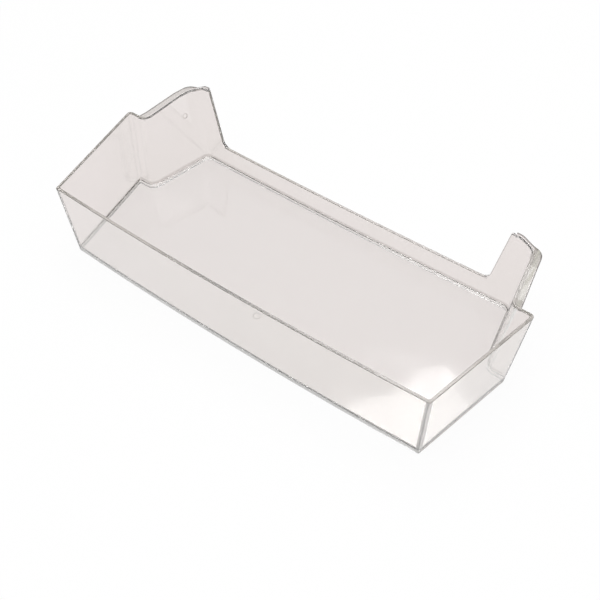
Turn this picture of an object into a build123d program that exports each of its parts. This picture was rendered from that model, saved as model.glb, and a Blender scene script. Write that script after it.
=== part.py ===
from build123d import *
from math import cos, radians, tan
import os

# A clear fridge door shelf, moulded in one piece. Its front part is wide, with ends that flare
# towards the back; at a step the ends come in, and the rear part tapers to a low back rail that
# stands between two ears. A flange stands out along the rim of the rear part, from the steps round
# the rear corners and over the ears. +X runs along the shelf, +Y from the front wall to the back, +Z up.
# The origin is under the middle of the shelf's box, on the plane that it stands on.

# Driving dimensions: lengths in millimetres, angles in degrees
FRONT_WIDTH = 350.0  # outer width of the front wall along its bottom edge
FRONT_DEPTH = 96.0  # front bottom edge to the outer face of the step, at the base
FRONT_HEIGHT = 72.5  # rim of the front wall, of the front part of the ends and of the steps
FRONT_LEAN = 2.4  # outward lean of the front wall
FRONT_BOW = 3.8  # forward bulge at the middle of the front wall
END_FLARE = 10.8  # how fast the front part widens towards the back, each side
END_LEAN = 4.3
STEP_WIDTH = 17.8  # how far each end comes in at the step, at the base
STEP_LEAN = 8.0
REAR_DEPTH = 63.2  # outer face of the step to the outer face of the back, at the base
REAR_TAPER = 11.8  # how fast the rear part narrows towards the back, each side
REAR_LEAN = 7.5
BACK_LEAN = 0.4
BACK_BOW = 1.7  # forward bow at the middle of the back
RAIL_HEIGHT = 25.5
EAR_HEIGHT = 83.5
RIM_LEVEL_DEPTH = 6.5  # outer face of the step to where the rim of the rear ends starts to rise
CORNER_DROP = 6.5  # ears' tops to the rim at the rear corners
EAR_WIDTH = 19.0  # inner top corner of an ear to where its rim has come down to the corner height
EAR_TOP_WIDTH = 8.0  # level part of an ear's top
EAR_SLANT = 11.5  # slant of the ears' inner edges
END_FLANGE = 5.0  # how far the flange stands out beyond the rear ends
EAR_FLANGE = 1.8  # how far it stands out behind the ears
FLANGE_THICKNESS = 2.4
WALL = 2.6
FLOOR = 2.6
BASE_RIM = 2.4  # how far the walls go down below the floor

# Edge radii
FRONT_CORNER_RADIUS = 1.5  # on the outside
FRONT_CORNER_INNER_RADIUS = 2.0
STEP_TIP_RADIUS = 3.5  # on the outside
STEP_TIP_INNER_RADIUS = 2.0
STEP_ROOT_RADIUS = 6.4  # on the outside, where the step turns into the rear part
REAR_CORNER_RADIUS = 8.0  # on the outside
EAR_FOOT_RADIUS = 9.0
EAR_TIP_RADIUS = 1.5
EAR_BEND_RADIUS = 9.0  # where the ears' tops start and stop falling
BASE_EDGE_RADIUS = 1.0
FLOOR_EDGE_RADIUS = 1.2
RIM_RADIUS = 0.5
RIM_BEND_RADIUS = 20.0  # where the rim of the rear ends starts and stops rising

# Marks that the mould leaves
GATE_DIAMETER = 7.0  # round recess under the floor
GATE_SETBACK = 32.0  # front bottom edge to the gate's centre
EJECTOR_DIAMETER = 5.0  # on the inner faces of the rear ends
EJECTOR_HEIGHT = 56.0
EJECTOR_SETBACK = 13.6  # inner face of the back to the mark's centre
MARK_DEPTH = 0.4

# Follows from the above
CORNER_HEIGHT = EAR_HEIGHT - CORNER_DROP


def slope(angle):
    return tan(radians(angle))


def front_y(z, inset):
    return inset - z * slope(FRONT_LEAN)


def step_y(z, inset):
    return FRONT_DEPTH + z * slope(STEP_LEAN) - inset


def back_y(z, inset):
    return FRONT_DEPTH + REAR_DEPTH + z * slope(BACK_LEAN) - inset


def end_x(y, z, inset):
    """Half width of the front part at depth y and height z."""
    return FRONT_WIDTH / 2 + y * slope(END_FLARE) + (z * slope(END_LEAN) - inset) / cos(radians(END_FLARE))


def rear_x(y, z, inset):
    """Half width of the rear part at depth y and height z."""
    at_step = end_x(FRONT_DEPTH, 0, 0) - STEP_WIDTH
    narrowing = (y - FRONT_DEPTH) * slope(REAR_TAPER)
    return at_step - narrowing + (z * slope(REAR_LEAN) - inset) / cos(radians(REAR_TAPER))


def corners(z, inset):
    """Right-hand corners of the plan at height z: front, step tip, step root and rear."""
    front, step, back = front_y(z, inset), step_y(z, inset), back_y(z, inset)
    return [
        (end_x(front, z, inset), front),
        (end_x(step, z, inset), step),
        (rear_x(step, z, inset), step),
        (rear_x(back, z, inset), back),
    ]


def middle(start, end):
    return (start[0] + end[0]) / 2, (start[1] + end[1]) / 2


def plan(z, inset):
    """Face of the whole plan at height z, drawn in from the outer wall by inset."""
    right = corners(z, inset)
    left = [(-x, y) for x, y in reversed(right)]
    front_middle = (0, front_y(z, inset) - FRONT_BOW)
    back_middle = (0, back_y(z, inset) - BACK_BOW)
    loop = Polyline(*right) + ThreePointArc(right[-1], back_middle, left[0])
    loop += Polyline(*left) + ThreePointArc(left[-1], front_middle, right[0])
    return Pos(0, 0, z) * make_face(loop)


def fitted_step_radii(tip, root, bottom, top, inset):
    """Radii of the step's tip and root, made smaller where its face has no room for both."""
    room = min(corners(z, inset)[1][0] - corners(z, inset)[2][0] for z in (bottom, top))
    taken = tip * slope((90 + END_FLARE) / 2) + root * slope((90 - REAR_TAPER) / 2)
    share = min(1, 0.95 * room / taken)
    return tip * share, root * share


def tapered_form(bottom, top, inset, radii, bottom_radius):
    """Solid between two heights, with leaning walls and with its upright and bottom edges rounded."""
    form = extrude(plan(bottom, inset), top - bottom)
    front, step_tip, step_root, rear = corners(bottom, inset)
    walls = [
        ((0, front[1] - FRONT_BOW), FRONT_LEAN),
        ((0, rear[1] - BACK_BOW), BACK_LEAN),
        (middle(front, step_tip), END_LEAN),
        (middle(step_tip, step_root), STEP_LEAN),
        (middle(step_root, rear), REAR_LEAN),
    ]
    for (x, y), lean in walls:
        for side in sorted({x, -x}):
            wall = form.faces().filter_by(Axis.Z, reverse=True).sort_by_distance((side, y, bottom))[0]
            form = draft(wall, Plane.XY.offset(bottom), -lean)
    for low, high, radius in zip(corners(bottom, inset), corners(top, inset), radii):
        x, y = middle(low, high)
        for side in (x, -x):
            form = fillet(form.edges().sort_by_distance((side, y, (bottom + top) / 2))[0], radius)
    return fillet(form.edges().group_by(Axis.Z)[0], min(bottom_radius, 0.8 * min(radii)))


def space_below_floor(radii):
    """Shallow space under the floor, between the walls."""
    space = extrude(plan(0, WALL), BASE_RIM)
    for (x, y), radius in zip(corners(0, WALL), radii):
        for side in (x, -x):
            space = fillet(space.edges().filter_by(Axis.Z).sort_by_distance((side, y, BASE_RIM / 2))[0], radius)
    return space


def open_tray(top, reach):
    """Tray with flanges and with walls up to one height, before its rim is cut."""
    tip, root = fitted_step_radii(STEP_TIP_RADIUS, STEP_ROOT_RADIUS, 0, top, 0)
    floor = BASE_RIM + FLOOR
    inner_tip, inner_root = fitted_step_radii(STEP_TIP_INNER_RADIUS, root + WALL, floor, top, WALL)
    outer_radii = (FRONT_CORNER_RADIUS, tip, root, REAR_CORNER_RADIUS)
    inner_radii = (FRONT_CORNER_INNER_RADIUS, inner_tip, inner_root, REAR_CORNER_RADIUS - WALL)
    outer = tapered_form(0, top, 0, outer_radii, BASE_EDGE_RADIUS)
    for flange in flanges(top, reach):
        outer += flange
    return outer - tapered_form(floor, top, WALL, inner_radii, FLOOR_EDGE_RADIUS) - space_below_floor(inner_radii)


def rear_turn():
    """Depth at which the rim has reached the corner height and the rear corners begin to turn."""
    return back_y(CORNER_HEIGHT, WALL) - REAR_CORNER_RADIUS


def space_above_ends(top, reach):
    """Everything above the rim of the front and the ends, as far back as the rear corners."""
    foot = (step_y(FRONT_HEIGHT, 0) + RIM_LEVEL_DEPTH, FRONT_HEIGHT)
    head, turn = (rear_turn() - 2 * WALL, CORNER_HEIGHT), (rear_turn(), CORNER_HEIGHT)
    rim = FilletPolyline((-reach, FRONT_HEIGHT), foot, head, turn, radius=RIM_BEND_RADIUS)
    rest = Polyline(turn, (rear_turn(), top), (-reach, top), (-reach, FRONT_HEIGHT))
    return extrude(Plane.YZ * make_face(rim + rest), amount=reach, both=True)


def ear_top():
    """Right-hand ear's inner top corner, the end of its level top and where its rim is down at the corner."""
    corner_x = rear_x(rear_turn(), CORNER_HEIGHT, 2 * WALL)
    tip_x = corner_x - EAR_WIDTH
    return (tip_x, EAR_HEIGHT), (tip_x + EAR_TOP_WIDTH, EAR_HEIGHT), (corner_x, CORNER_HEIGHT)


def behind_turn(half, reach):
    """Half a profile and its mirror image, drawn out backwards from where the corners turn."""
    return extrude(Plane.XZ.offset(-rear_turn()) * (half + mirror(half, Plane.YZ)), amount=-reach)


def space_above_back(top, reach):
    """Everything above the ears and, between them, above the rail."""
    tip, level, corner = ear_top()
    foot = (tip[0] - (EAR_HEIGHT - RAIL_HEIGHT) * slope(EAR_SLANT), RAIL_HEIGHT)
    end = (reach, CORNER_HEIGHT)
    radii = [EAR_FOOT_RADIUS, EAR_TIP_RADIUS, EAR_BEND_RADIUS, EAR_BEND_RADIUS]
    rim = FilletPolyline((0, RAIL_HEIGHT), foot, tip, level, corner, end, radius=radii)
    rest = Polyline(end, (reach, top), (0, top), (0, RAIL_HEIGHT))
    return behind_turn(make_face(rim + rest), reach)


def space_above_ears(top, reach):
    """Everything above the level and falling parts of the ears' tops and above the rear corners."""
    tip, level, corner = ear_top()
    start, end = (tip[0] + 2 * EAR_TIP_RADIUS, EAR_HEIGHT), (reach, CORNER_HEIGHT)
    rim = FilletPolyline(start, level, corner, end, radius=EAR_BEND_RADIUS)
    rest = Polyline(end, (reach, top), (start[0], top), start)
    return behind_turn(make_face(rim + rest), reach)


def flanges(top, reach):
    """Blocks over a lowered copy of the rear part's rim, as far out as the flange goes."""
    front, back = step_y(FRONT_HEIGHT, WALL / 2), back_y(EAR_HEIGHT, 0) + EAR_FLANGE
    right = [(rear_x(y, CORNER_HEIGHT, -END_FLANGE), y) for y in (front, back)]
    block = extrude(make_face(Polyline(*right, *[(-x, y) for x, y in reversed(right)], close=True)), top)
    block = fillet(block.edges().filter_by(Axis.Z).group_by(Axis.Y)[-1], REAR_CORNER_RADIUS + EAR_FLANGE)
    lowered = Pos(0, 0, -FLANGE_THICKNESS)
    return [block & (lowered * space(top, reach)) for space in (space_above_ends, space_above_ears)]


def mould_marks():
    """Shallow round recesses: the gate's under the floor and an ejector's on each rear end."""
    gate = Pos(0, GATE_SETBACK, BASE_RIM) * Cylinder(GATE_DIAMETER / 2, 2 * MARK_DEPTH)
    y = back_y(EJECTOR_HEIGHT, WALL) - EJECTOR_SETBACK
    x = rear_x(y, EJECTOR_HEIGHT, WALL)
    outward = Vector(1, slope(REAR_TAPER), -slope(REAR_LEAN) / cos(radians(REAR_TAPER)))
    on_wall = Plane(origin=(x, y, EJECTOR_HEIGHT), z_dir=outward)
    ejector = on_wall * Cylinder(EJECTOR_DIAMETER / 2, 2 * MARK_DEPTH)
    return [gate, ejector, mirror(ejector, Plane.YZ)]


def door_shelf():
    top = max(EAR_HEIGHT, CORNER_HEIGHT, FRONT_HEIGHT) + WALL
    reach = FRONT_WIDTH + FRONT_DEPTH + REAR_DEPTH
    tray = open_tray(top, reach)
    above_ends, above_back = space_above_ends(top + WALL, reach), space_above_back(top + WALL, reach)
    shelf = tray - above_ends - above_back
    shelf = fillet(new_edges(tray, above_ends, above_back, combined=shelf), RIM_RADIUS)
    for mark in mould_marks():
        shelf -= mark
    return Pos(0, -shelf.bounding_box().center().Y, 0) * shelf


os.makedirs("parts", exist_ok=True)
export_step(door_shelf(), "parts/door_shelf.step")
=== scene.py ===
from math import atan, cos, radians

import bpy
from bpy.props import FloatProperty, FloatVectorProperty, IntProperty, PointerProperty
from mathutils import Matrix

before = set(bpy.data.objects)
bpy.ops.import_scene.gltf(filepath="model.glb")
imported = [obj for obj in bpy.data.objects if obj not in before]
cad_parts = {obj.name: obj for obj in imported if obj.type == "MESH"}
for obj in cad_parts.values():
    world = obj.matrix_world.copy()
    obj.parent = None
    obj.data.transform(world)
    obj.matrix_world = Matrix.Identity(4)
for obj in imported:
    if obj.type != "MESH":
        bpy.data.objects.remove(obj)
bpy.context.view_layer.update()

bl_info = {
    "name": "Fridge Door Shelf",
    "version": (1, 0, 0),
    "blender": (4, 5, 0),
    "location": "View3D > Sidebar > Door Shelf",
    "description": "Gives a moulded fridge door shelf its clear plastic and sets up its studio",
    "category": "Object",
}

SHELF = "door_shelf"

# Places on the shelf are in metres. A slope, flare or taper is a rise over a run.

# thickness of the walls, top of the tray's floor, and where the ends have stepped in
WALL = 0.0026
FLOOR_LEVEL = 0.005
STEP_BACK = 0.029

# outer faces of the front wall and of the front part of the ends, from the front's lower edge
HALF_FRONT = 0.175
FRONT_FOOT = -0.07738
FRONT_BOW = 0.0038
FRONT_SLOPE = 0.0419
END_FLARE = 0.1908
END_SLOPE = 0.0752

# rims of the front part, of the back rail and of the ears' inner edges
RIM_LEVEL = 0.0725
RIM_DEPTH = 0.0007
BACK_FRONT = 0.0762
RAIL_LEVEL = 0.0255
EAR_FOOT = 0.13865
EAR_FILLET = 0.005
EAR_SLANT = 0.20345

# outer edge of the flange, its half width taken at the middle of the depth
END_EDGE = 0.19487
END_TAPER = 0.209
BACK_EDGE = 0.0842
CORNER_RADIUS = 0.0098
FLANGE_LEVEL = 0.068
FLANGE_WIDTH = 0.005

# centres and radii of the mould marks; the ejector's is on both ends, the gate's under the floor
GATE, GATE_RADIUS, GATE_TOP = (0.0, -0.04538, 0.0024), 0.0035, 0.0033
EJECTOR, EJECTOR_RADIUS = (0.17049, 0.06601, 0.056), 0.0025
RING_INSIDE, RING_OUTSIDE, RING_BLUR = 0.78, 0.99, 0.00005

# widths over which a patch fades out
SOFT, CRISP = 0.001, 0.0002

# painted shade on the flange on the left, and how much more on the right, evenly and in streaks
LEFT_SHADE, RIGHT_SHADE, STREAK_SHADE = 0.3, 0.3, 0.7

# the painted shade along the floor's edge: its strength, and how it fades towards the front wall
FLOOR_SHADE, FRONT_FADE = 0.55, 0.75
FADE_START, FADE_END = -0.012, -0.008

# matt share of the rubbed lower rim in front and at the ends and the upright corners, and of the
# flange and rims, matt with painted shade
MATT_FRONT, MATT_END, MATT_POST, MATT_FLANGE, MATT_RIM = 0.75, 0.2, 0.3, 0.6, 0.5
MATT_ROUGHNESS, MATT_SPECULAR = 0.8, 0.2

# stretch of the width where the painted shade on the rims is weaker
RIM_FADE_LEFT, RIM_FADE_RIGHT, RIM_FADE_BLUR, RIM_FADE_SHARE = -0.04, 0.15, 0.05, 0.65

# roughness that unevenness and wear add, and depths in the bump as shares of the waves' depth
RUBBED_ROUGHNESS, SCUFF_ROUGHNESS, GRAIN_ROUGHNESS = 0.05, 0.06, 0.01
FLOOR_ROUGHNESS, FLANGE_ROUGHNESS = 0.04, 0.15
GRAIN_RELIEF, SCUFF_RELIEF = 0.004, 0.01

# how dense the hairlines are along each axis
ALONG_DENSITY, ACROSS_DENSITY = (14.0, 260.0, 260.0), (320.0, 18.0, 90.0)

POLYSTYRENE_IOR = 1.59

# studio: sizes and places in metres, lens and sensor in millimetres
WHITE, FLOOR_PAINT = (1.0, 1.0, 1.0), (0.95, 0.95, 0.95)
FLOOR_SIZE, FLOOR_GAP = 30.0, 0.0005
WALL_TOP, CEILING_EDGE = 0.1, 0.7  # how steeply up the room's walls end and its ceiling begins
KEY_PLACE, KEY_TURN, KEY_SIZE = (0.2, -0.3, 1.7), 0.0, (1.8, 1.8)
CORNER_PLACE, CORNER_TURN, CORNER_SIZE = (-0.211, 0.715, 1.6), radians(-26.7), (0.58, 0.54)
CAMERA_PLACE = (0.33797, -0.40904, 0.59906)
CAMERA_TURN = (radians(40.517), radians(1.474), radians(37.182))
CAMERA_LENS, CAMERA_SENSOR = 57.0, 36.0


class Value:
    """A socket of a node tree, or the tree alone. Sums and products of values add Math nodes."""

    def __init__(self, tree, socket=None):
        self.tree = tree
        self.socket = socket

    def node(self, kind, settings=None, inputs=None, output=0):
        """Add a node, with its settings made first, and return one of its outputs."""
        made = self.tree.nodes.new(kind)
        for name, setting in (settings or {}).items():
            setattr(made, name, setting)
        for name, value in (inputs or {}).items():
            if isinstance(value, Value):
                self.tree.links.new(value.socket, made.inputs[name])
            else:
                made.inputs[name].default_value = value
        return Value(self.tree, made.outputs[output] if len(made.outputs) else None)

    def maths(self, operation, *values):
        return self.node("ShaderNodeMath", {"operation": operation}, dict(enumerate(values)))

    def __add__(self, other):
        return self.maths("ADD", self, other)

    __radd__ = __add__

    def __sub__(self, other):
        return self.maths("SUBTRACT", self, other)

    def __rsub__(self, other):
        return self.maths("SUBTRACT", other, self)

    def __mul__(self, other):
        return self.maths("MULTIPLY", self, other)

    __rmul__ = __mul__

    def __abs__(self):
        return self.maths("ABSOLUTE", self)

    def root(self):
        return self.maths("SQRT", self)

    def between(self, low, high):
        """0 below low, 1 above high and smooth in between."""
        return self.node(
            "ShaderNodeMapRange",
            {"interpolation_type": "SMOOTHSTEP"},
            {"Value": self, "From Min": low, "From Max": high},
        )

    def past(self, level, blur=CRISP):
        """0 up to a level and 1 from just above it."""
        return self.between(level, level + blur)

    def band(self, low, high, blur=CRISP):
        """1 from low to high, with soft sides."""
        return self.between(low - blur, low + blur) * (1 - self.between(high - blur, high + blur))


def most(first, *others):
    """The largest of a value and others."""
    for other in others:
        first = first.maths("MAXIMUM", first, other)
    return first


def clear_tree(owner):
    owner.use_nodes = True
    owner.node_tree.nodes.clear()
    return Value(owner.node_tree)


def noise(tree, place, scale=1.0, detail=2.0, roughness=0.5):
    return tree.node(
        "ShaderNodeTexNoise",
        None,
        {"Vector": place, "Scale": scale, "Detail": detail, "Roughness": roughness},
    )


def mix(tree, share, first, second):
    """Colour between two colours, each a link or three numbers."""
    ends = [end if isinstance(end, Value) else (*end, 1.0) for end in (first, second)]
    inputs = {"Factor": share, 6: ends[0], 7: ends[1]}
    return tree.node("ShaderNodeMix", {"data_type": "RGBA"}, inputs, output=2)


def beyond_flange(x, y):
    """Distances beyond the flange's edge, along the rear ends alone and all round ends and ears."""
    beyond_end = (abs(x) - END_EDGE + END_TAPER * y) * cos(atan(END_TAPER))
    past_end = most(beyond_end + CORNER_RADIUS, 0.0)
    past_back = most(y - (BACK_EDGE - CORNER_RADIUS), 0.0)
    return beyond_end, (past_end * past_end + past_back * past_back).root() - CORNER_RADIUS


def beyond_walls(x, y, z):
    """Distances beyond the outer faces of the front wall and of the front part of the ends."""
    bow = FRONT_BOW - FRONT_BOW / HALF_FRONT**2 * (x * x)
    beyond_front = FRONT_FOOT - FRONT_SLOPE * z - bow - y
    beyond_end = abs(x) - HALF_FRONT - END_FLARE * (y - FRONT_FOOT) - END_SLOPE * z
    return beyond_front, beyond_end


def flange_patches(x, y, z, streaks, width):
    """Painted shade on the top of the flange, along its outer edge, and on the rim inside it at the
    right.
    """
    past_rear_end, outward = beyond_flange(x, y)
    rear_top = y.past(STEP_BACK, SOFT) * z.past(FLANGE_LEVEL, SOFT)
    on_right = x.between(-10 * SOFT, 10 * SOFT)
    shaded = LEFT_SHADE + on_right * (RIGHT_SHADE + STREAK_SHADE * streaks)
    top = rear_top * past_rear_end.band(-FLANGE_WIDTH, -width) * shaded
    edge = rear_top * outward.between(-width, -0.4 * width)
    rim = rear_top * on_right * past_rear_end.band(-FLANGE_WIDTH - 1.1 * WALL, -FLANGE_WIDTH)
    return top, edge, rim


def rims(x, y, z):
    """1 along the rims of the front part, of the back rail and of the ears' inner edges."""
    front = z.between(RIM_LEVEL - RIM_DEPTH, RIM_LEVEL - 0.6 * RIM_DEPTH)
    front = front * (1 - y.past(STEP_BACK, SOFT))
    past_slant = abs(x) - EAR_FOOT - EAR_SLANT * (z - RAIL_LEVEL)
    rail = z.band(RAIL_LEVEL - RIM_DEPTH, RAIL_LEVEL + RIM_DEPTH)
    rail = rail * (1 - past_slant.between(-SOFT, 0.0))
    ears = z.past(RAIL_LEVEL + EAR_FILLET, SOFT)
    ears = ears * (1 - past_slant.between(0.6 * RIM_DEPTH, RIM_DEPTH))
    return most(front, y.past(BACK_FRONT, 2 * CRISP) * (rail + ears))


def ring(x, y, z, centre, radius):
    """1 along a round mark's edge, on both ends alike."""
    offsets = (abs(x) - centre[0], y - centre[1], z - centre[2])
    away = sum(offset * offset for offset in offsets).root()
    return away.band(RING_INSIDE * radius, RING_OUTSIDE * radius, RING_BLUR)


def clear_plastic(settings):
    """Moulded polystyrene: clear, faintly warm, with slow waves, rubbed patches and scuffs, and
    painted shade on its corners, edges, rims and flange.
    """
    material = bpy.data.materials.new("clear_plastic")
    tree = clear_tree(material)
    place = tree.node("ShaderNodeTexCoord", output="Object")
    x, y, z = (
        tree.node("ShaderNodeSeparateXYZ", None, {"Vector": place}, output=axis) for axis in "XYZ"
    )
    along, across = (
        tree.node("ShaderNodeMapping", None, {"Vector": place, "Scale": density})
        for density in (ALONG_DENSITY, ACROSS_DENSITY)
    )
    width = settings.edge_width

    # unevenness all over
    waves = noise(tree, place, scale=16.0, detail=1.0)
    grain = noise(tree, place, scale=900.0)
    flow = noise(tree, place, scale=7.0).between(0.35, 0.65)
    rubbed = noise(tree, place, scale=28.0, detail=4.0, roughness=0.6).between(0.48, 0.72)
    streaks = noise(tree, across).between(0.4, 0.6)
    scuffs = noise(tree, along, detail=3.0, roughness=0.7).between(0.66, 0.74)
    scuffs = scuffs + noise(tree, across, detail=3.0, roughness=0.7).between(0.68, 0.75)

    # outer faces, upright corners and floor of the front part
    beyond_front, beyond_end = beyond_walls(x, y, z)
    on_front, on_end = (
        beyond.between(-0.6 * WALL, -0.4 * WALL) for beyond in (beyond_front, beyond_end)
    )
    outside = most(on_front, on_end)
    post = tree.maths("MINIMUM", beyond_front, beyond_end).between(-1.2 * WALL, -WALL)
    above_floor = z.past(FLOOR_LEVEL)
    slab = 1 - above_floor
    # painted shade along the floor's edge, weaker towards the front wall
    floor_shade_line = above_floor * (1 - z.past(FLOOR_LEVEL, 3 * width)) * (1 - outside)
    floor_shade_line = floor_shade_line * (1 - FRONT_FADE * beyond_front.between(FADE_START, FADE_END))

    # painted shade on the flange and rims, and the mould marks
    flange, flange_shade_edge, rear_shade_rim = flange_patches(x, y, z, streaks, width)
    rim = most(rims(x, y, z), rear_shade_rim)
    gate_ring = (1 - z.past(GATE_TOP)) * ring(x, y, z, GATE, GATE_RADIUS)
    ejector_ring = ring(x, y, z, EJECTOR, EJECTOR_RADIUS)
    # painted shade along the floor's edge, painted shadow along the ends' lower rim, and the mould
    # marks' own rings
    shade_lines_and_marks = most(FLOOR_SHADE * floor_shade_line, slab * on_end, gate_ring, ejector_ring)

    # polished plastic
    tint = mix(tree, flow, settings.tint, settings.flow_tint)
    # painted shade in the upright corners, on the flange, along the floor's edge and the flange's
    # edge, painted shadow on the ends' lower rim; mould marks are real
    for patch, colour in (
        (slab, settings.slab_tint),
        (post, settings.corner_shade_tint),
        (flange, settings.flange_shade_tint),
        (shade_lines_and_marks, settings.shade_and_mark_tint),
        (flange_shade_edge, settings.edge_shade_tint),
    ):
        tint = mix(tree, patch, tint, colour)
    roughness = settings.roughness + RUBBED_ROUGHNESS * rubbed + SCUFF_ROUGHNESS * scuffs
    roughness = roughness + GRAIN_ROUGHNESS * grain
    roughness = roughness + FLOOR_ROUGHNESS * (slab + floor_shade_line) + FLANGE_ROUGHNESS * flange
    relief = waves + GRAIN_RELIEF * grain - SCUFF_RELIEF * scuffs
    bump = tree.node(
        "ShaderNodeBump",
        None,
        {"Height": relief, "Strength": 1.0, "Distance": settings.wave_depth},
    )
    polished = tree.node(
        "ShaderNodeBsdfPrincipled",
        None,
        {
            "Base Color": tint,
            "Roughness": roughness,
            "Normal": bump,
            "IOR": POLYSTYRENE_IOR,
            "Transmission Weight": settings.clarity,
        },
    )

    # matt plastic where the edges are rubbed, with painted shade on the flange and rims
    matt_colour = mix(tree, flange, settings.frost_tint, settings.flange_shade_tint)
    matt_colour = mix(tree, rim, matt_colour, settings.shade_and_mark_tint)
    matt = tree.node(
        "ShaderNodeBsdfPrincipled",
        None,
        {
            "Base Color": matt_colour,
            "Roughness": MATT_ROUGHNESS,
            "Specular IOR Level": MATT_SPECULAR,
        },
    )
    # painted shade on the rims, weaker across the middle and right of the width
    rim_fade = RIM_FADE_SHARE * x.band(RIM_FADE_LEFT, RIM_FADE_RIGHT, RIM_FADE_BLUR)
    frost = most(
        slab * most(MATT_FRONT * on_front, MATT_END * on_end),
        MATT_POST * post * outside,
        MATT_FLANGE * flange,
        MATT_RIM * rim * (1 - rim_fade),
    )
    mixed = tree.node("ShaderNodeMixShader", None, {0: frost, 1: polished, 2: matt})
    tree.node("ShaderNodeOutputMaterial", None, {"Surface": mixed})
    return material


def lit_floor(settings):
    """Pale floor that looks white, and warm through the plastic, with the shelf's shadow kept."""
    material = bpy.data.materials.new("studio_floor")
    tree = clear_tree(material)
    camera, glossy, through = (
        tree.node("ShaderNodeLightPath", output=f"Is {kind} Ray")
        for kind in ("Camera", "Glossy", "Transmission")
    )
    seen = most(camera, glossy, through) * (1 - settings.shadow)
    shade = mix(tree, through, WHITE, settings.floor_colour)
    paint = tree.node("ShaderNodeBsdfDiffuse", None, {"Color": (*FLOOR_PAINT, 1.0)})
    glow = tree.node("ShaderNodeEmission", None, {"Color": shade, "Strength": 1.0})
    mixed = tree.node("ShaderNodeMixShader", None, {0: seen, 1: paint, 2: glow})
    tree.node("ShaderNodeOutputMaterial", None, {"Surface": mixed})
    return material


def studio_world(settings):
    """Dim walls under a brighter ceiling; white where the camera looks past the floor."""
    world = bpy.data.worlds.new("studio")
    tree = clear_tree(world)
    direction = tree.node("ShaderNodeTexCoord", output="Generated")
    height = tree.node("ShaderNodeSeparateXYZ", None, {"Vector": direction}, output="Z")
    walls, ceiling = ((level,) * 3 for level in (settings.wall_level, settings.ceiling_level))
    room = mix(tree, height.between(WALL_TOP, CEILING_EDGE), walls, ceiling)
    light = tree.node("ShaderNodeBackground", None, {"Color": room, "Strength": 1.0})
    white = tree.node("ShaderNodeBackground", None, {"Color": (*WHITE, 1.0), "Strength": 1.0})
    seen = tree.node("ShaderNodeLightPath", output="Is Camera Ray")
    mixed = tree.node("ShaderNodeMixShader", None, {0: seen, 1: light, 2: white})
    tree.node("ShaderNodeOutputWorld", None, {"Surface": mixed})
    return world


def add_softbox(name, place, turn, size, watts):
    bpy.ops.object.light_add(type="AREA", location=place, rotation=(0.0, 0.0, turn))
    light = bpy.context.object
    light.name = light.data.name = name
    light.data.shape = "RECTANGLE"
    light.data.size, light.data.size_y = size
    light.data.energy = watts


class ShelfPlastic(bpy.types.PropertyGroup):
    tint: FloatVectorProperty(
        name="Tint",
        description="Colour of the clear plastic",
        subtype="COLOR", default=(0.985, 0.978, 0.972), min=0.0, max=1.0,
    )
    flow_tint: FloatVectorProperty(
        name="Flow Tint",
        description="Colour where the melt flowed in slower",
        subtype="COLOR", default=(0.972, 0.968, 0.955), min=0.0, max=1.0,
    )
    slab_tint: FloatVectorProperty(
        name="Floor Tint",
        description="Colour of the floor of the tray",
        subtype="COLOR", default=(0.962, 0.957, 0.95), min=0.0, max=1.0,
    )
    # painted shade in the upright corners
    corner_shade_tint: FloatVectorProperty(
        name="Thick Tint",
        description="Colour of the upright corners, where the walls meet",
        subtype="COLOR", default=(0.78, 0.775, 0.76), min=0.0, max=1.0,
    )
    # painted shade on the flange, darker and in streaks on the right
    flange_shade_tint: FloatVectorProperty(
        name="Flange Tint",
        description="Colour of the flange where it is worn",
        subtype="COLOR", default=(0.62, 0.6, 0.54), min=0.0, max=1.0,
    )
    frost_tint: FloatVectorProperty(
        name="Frost Tint",
        description="Colour of the lower rim and the upright corners where they are rubbed matt",
        subtype="COLOR", default=(0.86, 0.86, 0.85), min=0.0, max=1.0,
    )
    # painted shade along the floor's edge and rims, painted shadow on the ends' lower rim, and the
    # mould marks' own colour
    shade_and_mark_tint: FloatVectorProperty(
        name="Line Tint",
        description="Colour along the floor's edge, in the mould marks and on rubbed rims",
        subtype="COLOR", default=(0.42, 0.39, 0.35), min=0.0, max=1.0,
    )
    # painted shade along the flange's outer edge
    edge_shade_tint: FloatVectorProperty(
        name="Edge Tint",
        description="Colour along the flange's outer edge, where light goes through most plastic",
        subtype="COLOR", default=(0.28, 0.26, 0.25), min=0.0, max=1.0,
    )
    edge_width: FloatProperty(
        name="Edge Width",
        description="Width of the flange's tinted edge, and a third of the height of the floor's",
        unit="LENGTH", default=0.0012, min=0.0,
    )
    clarity: FloatProperty(
        name="Clarity",
        description="Share of the light that goes through unscattered",
        subtype="FACTOR", default=0.96, min=0.0, max=1.0,
    )
    roughness: FloatProperty(
        name="Roughness",
        description="Roughness of the polished surface",
        subtype="FACTOR", default=0.015, min=0.0, max=1.0,
    )
    wave_depth: FloatProperty(
        name="Wave Depth",
        description="Depth of the slow waves of the surface",
        unit="LENGTH", default=0.0004, min=0.0,
    )


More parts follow.
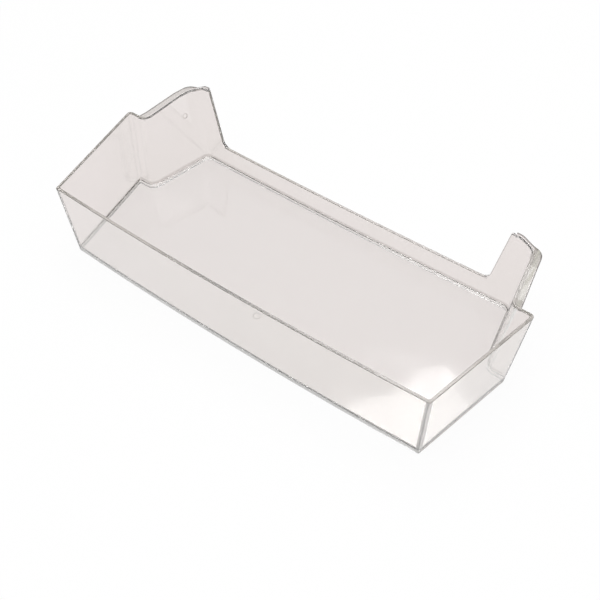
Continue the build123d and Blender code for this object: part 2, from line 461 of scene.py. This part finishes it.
class ShelfStudio(bpy.types.PropertyGroup):
    floor_colour: FloatVectorProperty(
        name="Floor",
        description="Colour of the floor seen through the plastic",
        subtype="COLOR", default=(0.85, 0.797, 0.783), min=0.0, max=1.0,
    )
    shadow: FloatProperty(
        name="Shadow",
        description="Strength of the shelf's shadow on the floor",
        subtype="FACTOR", default=0.06, min=0.0, max=1.0,
    )
    wall_level: FloatProperty(
        name="Walls",
        description="Brightness of the room beside the shelf",
        default=0.08, min=0.0,
    )
    ceiling_level: FloatProperty(
        name="Ceiling",
        description="Brightness of the room above the shelf",
        default=0.7, min=0.0,
    )
    bounces: IntProperty(
        name="Bounces",
        description="How often light may turn inside the plastic",
        default=40, min=1,
    )
    key_power: FloatProperty(
        name="Key Light",
        description="Power of the light above the shelf",
        unit="POWER", default=14.0, min=0.0,
    )
    corner_power: FloatProperty(
        name="Corner Light",
        description="Power of the light that mirrors in the floor of the tray",
        unit="POWER", default=3.9, min=0.0,
    )


class SHELF_OT_plastic(bpy.types.Operator):
    """Give the moulded shelf its clear plastic"""

    bl_idname = "shelf.plastic"
    bl_label = "Clear Plastic"

    def execute(self, context):
        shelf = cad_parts[SHELF]
        material = clear_plastic(context.scene.shelf_plastic)
        shelf.data.materials.clear()
        shelf.data.materials.append(material)
        return {"FINISHED"}


class SHELF_OT_stage(bpy.types.Operator):
    """Put the shelf on a pale floor, under soft light, in front of the camera"""

    bl_idname = "shelf.stage"
    bl_label = "Studio"

    def execute(self, context):
        scene = context.scene
        settings = scene.shelf_studio
        bpy.ops.object.select_all(action="DESELECT")
        bpy.ops.mesh.primitive_plane_add(size=FLOOR_SIZE, location=(0.0, 0.0, -FLOOR_GAP))
        floor = context.object
        floor.name = floor.data.name = "studio_floor"
        floor.data.materials.append(lit_floor(settings))
        scene.world = studio_world(settings)
        add_softbox("key_light", KEY_PLACE, KEY_TURN, KEY_SIZE, settings.key_power)
        add_softbox("corner_light", CORNER_PLACE, CORNER_TURN, CORNER_SIZE, settings.corner_power)
        bpy.ops.object.camera_add(location=CAMERA_PLACE, rotation=CAMERA_TURN)
        camera = context.object
        camera.name = camera.data.name = "photo_camera"
        camera.data.sensor_width = CAMERA_SENSOR
        camera.data.lens = CAMERA_LENS
        scene.camera = camera
        cycles = scene.cycles
        cycles.max_bounces = settings.bounces
        cycles.glossy_bounces = settings.bounces
        cycles.transmission_bounces = settings.bounces
        scene.view_settings.view_transform = "Standard"
        return {"FINISHED"}


class SHELF_PT_panel(bpy.types.Panel):
    """The shelf's settings and steps"""

    bl_label = "Door Shelf"
    bl_idname = "SHELF_PT_panel"
    bl_space_type = "VIEW_3D"
    bl_region_type = "UI"
    bl_category = "Door Shelf"

    def draw(self, context):
        steps = (("shelf_plastic", SHELF_OT_plastic), ("shelf_studio", SHELF_OT_stage))
        for name, operator in steps:
            box = self.layout.box()
            settings = getattr(context.scene, name)
            for key in settings.__annotations__:
                box.prop(settings, key)
            box.operator(operator.bl_idname)


CLASSES = (ShelfPlastic, ShelfStudio, SHELF_OT_plastic, SHELF_OT_stage, SHELF_PT_panel)


def register():
    for cls in CLASSES:
        bpy.utils.register_class(cls)
    bpy.types.Scene.shelf_plastic = PointerProperty(type=ShelfPlastic)
    bpy.types.Scene.shelf_studio = PointerProperty(type=ShelfStudio)


def unregister():
    del bpy.types.Scene.shelf_studio
    del bpy.types.Scene.shelf_plastic
    for cls in reversed(CLASSES):
        bpy.utils.unregister_class(cls)


def main():
    register()
    bpy.ops.shelf.plastic()
    bpy.ops.shelf.stage()


if __name__ == "__main__":
    main()
